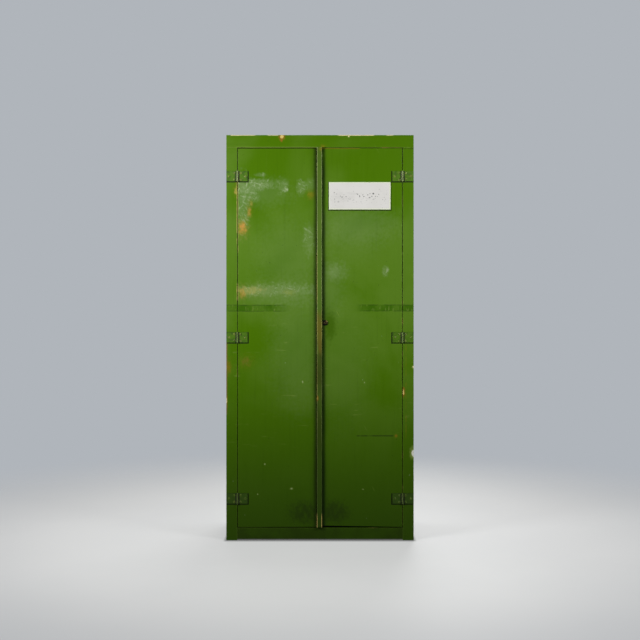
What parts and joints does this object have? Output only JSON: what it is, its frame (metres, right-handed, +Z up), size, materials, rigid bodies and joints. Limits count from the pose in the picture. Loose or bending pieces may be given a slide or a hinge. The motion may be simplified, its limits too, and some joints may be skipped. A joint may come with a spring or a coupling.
{
  "type": "standpipe cabinet",
  "caption": "Tall painted wooden cabinet with two hinged doors, a lock, bolts, and a shelf and rack inside for standpipes.",
  "frame": {"origin": "on the floor, under the middle of the bounding box", "axes": "+Z up, +X to the right of someone facing the doors, +Y from the doors to the back"},
  "size_m": [0.925, 0.465, 2],
  "materials": {
    "painted_wood": "old gloss green paint, scuffed and chipped to pale wood",
    "inner_wood": "bare softwood, aged",
    "painted_steel": "green paint over steel, worn on the knuckles",
    "plain_steel": "dull steel",
    "dark_metal": "dark tarnished metal, rubbed where the key turns",
    "label_paint": "off-white, with faint grey wear"
  },
  "bodies": {
    "cabinet": {"back_board_1": "painted_wood", "back_board_2": "painted_wood", "back_board_3": "painted_wood", "door_stop_top": "inner_wood", "floor_panel": "inner_wood", "frame_rail_bottom": "painted_wood", "frame_rail_top": "painted_wood", "frame_stile_left": "painted_wood", "frame_stile_right": "painted_wood", "hinge_frame_leaf_left_bottom": "painted_steel", "hinge_frame_leaf_left_middle": "painted_steel", "hinge_frame_leaf_left_top": "painted_steel", "hinge_frame_leaf_right_bottom": "painted_steel", "hinge_frame_leaf_right_middle": "painted_steel", "hinge_frame_leaf_right_top": "painted_steel", "hinge_pin_left_bottom": "painted_steel", "hinge_pin_left_middle": "painted_steel", "hinge_pin_left_top": "painted_steel", "hinge_pin_right_bottom": "painted_steel", "hinge_pin_right_middle": "painted_steel", "hinge_pin_right_top": "painted_steel", "rack_cleat_left": "inner_wood", "rack_cleat_right": "inner_wood", "rack_rail": "inner_wood", "shelf_cleat_left": "inner_wood", "shelf_cleat_right": "inner_wood", "side_panel_left": "painted_wood", "side_panel_right": "painted_wood", "top_panel": "painted_wood", "upper_shelf": "inner_wood"},
    "left_door": {"hinge_door_leaf_left_bottom": "painted_steel", "hinge_door_leaf_left_middle": "painted_steel", "hinge_door_leaf_left_top": "painted_steel", "left_door_bottom_rail": "inner_wood", "left_door_hinge_stile": "inner_wood", "left_door_meeting_stile": "inner_wood", "left_door_middle_rail": "inner_wood", "left_door_skin": "painted_wood", "left_door_top_rail": "inner_wood", "lock_keeper": "plain_steel", "lower_bolt_guide": "plain_steel", "upper_bolt_guide": "plain_steel"},
    "right_door": {"hinge_door_leaf_right_bottom": "painted_steel", "hinge_door_leaf_right_middle": "painted_steel", "hinge_door_leaf_right_top": "painted_steel", "label_plate": "label_paint", "lock_case": "plain_steel", "lock_rosette": "dark_metal", "meeting_strip": "painted_wood", "right_door_bottom_rail": "inner_wood", "right_door_hinge_stile": "inner_wood", "right_door_meeting_stile": "inner_wood", "right_door_middle_rail": "inner_wood", "right_door_skin": "painted_wood", "right_door_top_rail": "inner_wood"},
    "upper_bolt": {"upper_bolt": "plain_steel"},
    "lower_bolt": {"lower_bolt": "plain_steel"},
    "lock_plug": {"lock_plug": "dark_metal"},
    "lock_bolt": {"lock_bolt": "plain_steel"}
  },
  "joints": [
    {"name": "left_door_hinge", "type": "hinge", "parent": "cabinet", "child": "left_door", "pos_m": [-0.407, -0.2228, 0], "axis": [0, 0, -1], "range_deg": [0, 175]},
    {"name": "right_door_hinge", "type": "hinge", "parent": "cabinet", "child": "right_door", "pos_m": [0.407, -0.2228, 0], "axis": [0, 0, 1], "range_deg": [0, 175]},
    {"name": "upper_bolt_slide", "type": "slide", "parent": "left_door", "child": "upper_bolt", "axis": [0, 0, 1], "range_m": [0, 0.015]},
    {"name": "lower_bolt_slide", "type": "slide", "parent": "left_door", "child": "lower_bolt", "axis": [0, 0, -1], "range_m": [0, 0.015]},
    {"name": "lock_plug_turn", "type": "hinge", "parent": "right_door", "child": "lock_plug", "pos_m": [0.025, -0.2, 1.074], "axis": [0, 1, 0], "range_deg": [0, 180]},
    {"name": "lock_bolt_slide", "type": "slide", "parent": "right_door", "child": "lock_bolt", "axis": [-1, 0, 0], "range_m": [0, 0.018]}
  ],
  "couplings": [
    {"joint": "lock_plug_turn", "follows": "lock_bolt_slide", "rad_per_m": 174.5}
  ]
}
